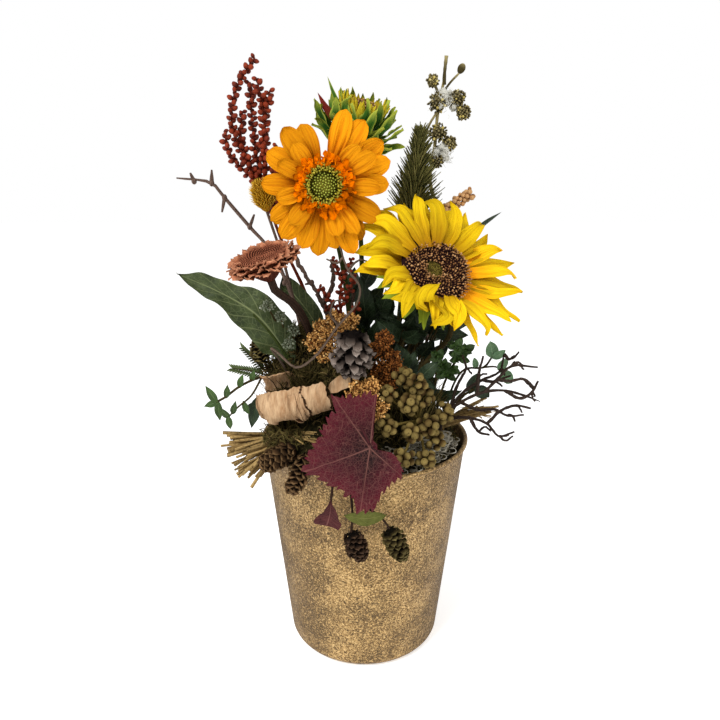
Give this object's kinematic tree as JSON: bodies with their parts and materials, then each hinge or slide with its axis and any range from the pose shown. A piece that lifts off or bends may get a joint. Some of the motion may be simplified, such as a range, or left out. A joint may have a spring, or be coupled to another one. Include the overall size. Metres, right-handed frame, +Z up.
{
  "type": "flower arrangement in a bucket",
  "caption": "Dried and silk flower arrangement with sunflowers, seed pods, cones, bark and leaves standing in a round tapered gilded metal bucket.",
  "frame": {"origin": "centre of the bucket's flat base, on the surface it stands on", "axes": "+Z up along the bucket axis, -Y towards the front, where the orange bloom faces, +X to the right seen from the front"},
  "size_m": [0.2664, 0.1804, 0.465],
  "materials": {
    "gilt_metal": "worn gold leaf, satin",
    "floral_foam": "porous, matte",
    "moss": "fibrous, matte",
    "orange_petal": "soft, matte",
    "deep_orange_petal": "soft, matte",
    "lime_floret": "soft, matte",
    "yellow_petal": "soft, matte",
    "seed_brown": "bristly, matte",
    "stem_green": "ribbed, matte",
    "bract_green": "soft, matte",
    "rust_berry": "dry, matte",
    "mustard_bristle": "bristly, matte",
    "twig_bark": "bark, matte",
    "dark_stem": "bark, matte",
    "copper_bract": "dry, matte",
    "olive_leaf": "dry leaf, satin",
    "pine_needle": "dry, matte",
    "golden_olive": "dry, matte",
    "cotton": "fluffy",
    "tan_bud": "dry, matte",
    "silver_floret": "fine, matte",
    "yarrow_gold": "fine, matte",
    "cone_grey": "dry scales, matte",
    "cone_brown": "dry scales, matte",
    "pale_bark": "peeled bark, matte",
    "maroon_leaf": "veined, satin",
    "olive_berry": "smooth, satin",
    "straw": "dry, satin",
    "dark_leaf": "waxed leaf, satin",
    "fresh_leaf": "leaf, satin",
    "pale_leaf": "leaf, satin",
    "curl_bark": "bark, matte",
    "lichen_grey": "spongy, matte",
    "vine_bark": "bark, matte",
    "feather_green": "fine, matte"
  },
  "bodies": {
    "root": {"bucket": "gilt_metal", "foam_block": "floral_foam", "moss_bed": "moss", "orange_bloom_petals": "orange_petal", "orange_bloom_frill": "deep_orange_petal", "orange_bloom_disc": "lime_floret", "orange_bloom_stem": "stem_green", "sunflower_petals": "yellow_petal", "sunflower_disc": "seed_brown", "sunflower_stem": "stem_green", "bud_bracts": "bract_green", "bud_petals": "yellow_petal", "bud_disc": "seed_brown", "bud_stem": "stem_green", "red_spray_tall": "rust_berry", "red_spray_low": "rust_berry", "bristle_head": "mustard_bristle", "bristle_stem": "twig_bark", "twig_branch": "twig_bark", "protea_head": "copper_bract", "protea_stem": "dark_stem", "large_leaf": "olive_leaf", "back_leaf": "olive_leaf", "narrow_leaf": "dark_leaf", "maroon_leaf": "maroon_leaf", "pine_sprig": "pine_needle", "cotton_branch": "golden_olive", "cotton_fluff_a": "cotton", "cotton_fluff_b": "cotton", "tan_spike": "tan_bud", "statice": "silver_floret", "feathery_greens": "feather_green", "yarrow_left": "yarrow_gold", "yarrow_right": "yarrow_gold", "yarrow_low": "yarrow_gold", "grey_cone": "cone_grey", "left_cone": "cone_brown", "mossy_cone": "cone_brown", "rim_cone": "cone_brown", "alder_cone_a": "cone_brown", "alder_cone_b": "cone_brown", "bark_roll": "pale_bark", "straw_bundle": "straw", "lichen": "lichen_grey", "raffia": "straw", "berry_bunch": "olive_berry", "tendril_left": "fresh_leaf", "tendril_right": "pale_leaf", "boxwood_sprig": "fresh_leaf", "dark_leaf_sprig": "dark_leaf", "ivy_right": "dark_leaf", "leaf_left": "dark_leaf", "back_greens": "dark_leaf", "back_greens_right": "dark_leaf", "small_maroon_leaf": "maroon_leaf", "small_green_leaf": "fresh_leaf", "alder_sprig": "dark_stem", "curly_twigs": "curl_bark", "grapevine": "vine_bark"}
  },
  "joints": []
}
